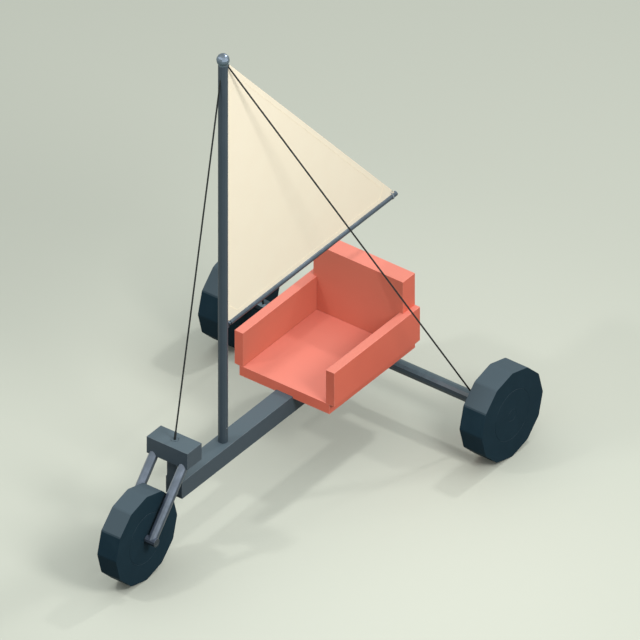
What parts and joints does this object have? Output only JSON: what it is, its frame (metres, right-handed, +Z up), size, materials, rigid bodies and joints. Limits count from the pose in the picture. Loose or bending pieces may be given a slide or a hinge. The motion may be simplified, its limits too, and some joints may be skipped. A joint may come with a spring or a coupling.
{
  "type": "land yacht",
  "caption": "Three-wheeled land yacht: raked front fork, square spine, bucket seat, wide rear axle, and a stayed mast with a boom and a triangular sail.",
  "frame": {"origin": "on the ground, in the middle of the yacht's footprint", "axes": "+Z up, -Y towards the bow, +X to the driver's left"},
  "size_m": [1.395, 1.927, 2.2018],
  "materials": {
    "frame_paint": "satin slate-grey paint on steel",
    "bare_steel": "bare steel tube, satin",
    "boom_aluminium": "satin",
    "polished_metal": "polished",
    "seat_plastic": "matt coral",
    "sailcloth": "plain woven cloth, cream",
    "tyre_rubber": "matt",
    "rim_plastic": "matt, the same tone as the tyre",
    "stay_wire": "dark stranded wire",
    "cord": "braided cord",
    "bronze": "plain bearing bronze",
    "zinc_hardware": "zinc-plated"
  },
  "bodies": {
    "chassis": {"spine_beam": "frame_paint", "spine_front_cap": "frame_paint", "spine_rear_cap": "frame_paint", "head_post": "frame_paint", "kingpin": "frame_paint", "kingpin_cross_pin": "zinc_hardware", "rear_axle": "bare_steel", "rear_spindle_left": "bare_steel", "rear_spindle_right": "bare_steel", "spindle_nut_left": "zinc_hardware", "spindle_nut_right": "zinc_hardware", "axle_saddle": "frame_paint", "axle_bolt_left": "zinc_hardware", "axle_bolt_right": "zinc_hardware", "mast_step": "bare_steel", "mast_step_bolt": "zinc_hardware", "mast": "frame_paint", "mast_pin": "zinc_hardware", "masthead_ball": "polished_metal", "forestay": "stay_wire", "shroud_left": "stay_wire", "shroud_right": "stay_wire", "masthead_tang": "bare_steel", "gooseneck_bracket": "bare_steel", "gooseneck_pin": "zinc_hardware", "luff_wire": "stay_wire", "seat_floor": "seat_plastic", "seat_side_left": "seat_plastic", "seat_side_right": "seat_plastic", "seat_back": "seat_plastic", "seat_rail_left": "frame_paint", "seat_rail_right": "frame_paint"},
    "steering": {"head_block": "frame_paint", "head_bush_upper": "bronze", "head_bush_lower": "bronze", "fork_leg_left": "bare_steel", "fork_leg_right": "bare_steel", "front_axle_lug_left": "bare_steel", "front_axle_lug_right": "bare_steel", "front_axle_bolt": "zinc_hardware", "front_axle_nut": "zinc_hardware", "front_axle_sleeve": "zinc_hardware"},
    "front_wheel": {"front_tyre": "tyre_rubber", "front_rim": "rim_plastic", "front_bearing_left": "zinc_hardware", "front_bearing_right": "zinc_hardware"},
    "rear_wheel_left": {"rear_tyre_left": "tyre_rubber", "rear_rim_left": "rim_plastic", "rear_hub_cap_left": "rim_plastic", "rear_bearing_inner_left": "zinc_hardware", "rear_bearing_outer_left": "zinc_hardware"},
    "rear_wheel_right": {"rear_tyre_right": "tyre_rubber", "rear_rim_right": "rim_plastic", "rear_hub_cap_right": "rim_plastic", "rear_bearing_inner_right": "zinc_hardware", "rear_bearing_outer_right": "zinc_hardware"},
    "rig": {"boom": "boom_aluminium", "boom_eye": "boom_aluminium", "sail": "sailcloth", "clew_lashing": "cord"}
  },
  "joints": [
    {"name": "steering_turn", "type": "hinge", "parent": "chassis", "child": "steering", "pos_m": [0, -0.5175, 0.441], "axis": [0, 0, 1], "range_deg": [-40, 40]},
    {"name": "front_wheel_spin", "type": "hinge", "parent": "steering", "child": "front_wheel", "pos_m": [0, -0.7635, 0.2], "axis": [1, 0, 0], "continuous": true},
    {"name": "rear_wheel_left_spin", "type": "hinge", "parent": "chassis", "child": "rear_wheel_left", "pos_m": [0.6425, 0.7635, 0.2], "axis": [1, 0, 0], "continuous": true},
    {"name": "rear_wheel_right_spin", "type": "hinge", "parent": "chassis", "child": "rear_wheel_right", "pos_m": [-0.6425, 0.7635, 0.2], "axis": [1, 0, 0], "continuous": true},
    {"name": "boom_swing", "type": "hinge", "parent": "chassis", "child": "rig", "pos_m": [0, -0.172, 0.878], "axis": [0, 0, 1], "range_deg": [-27, 27]}
  ]
}
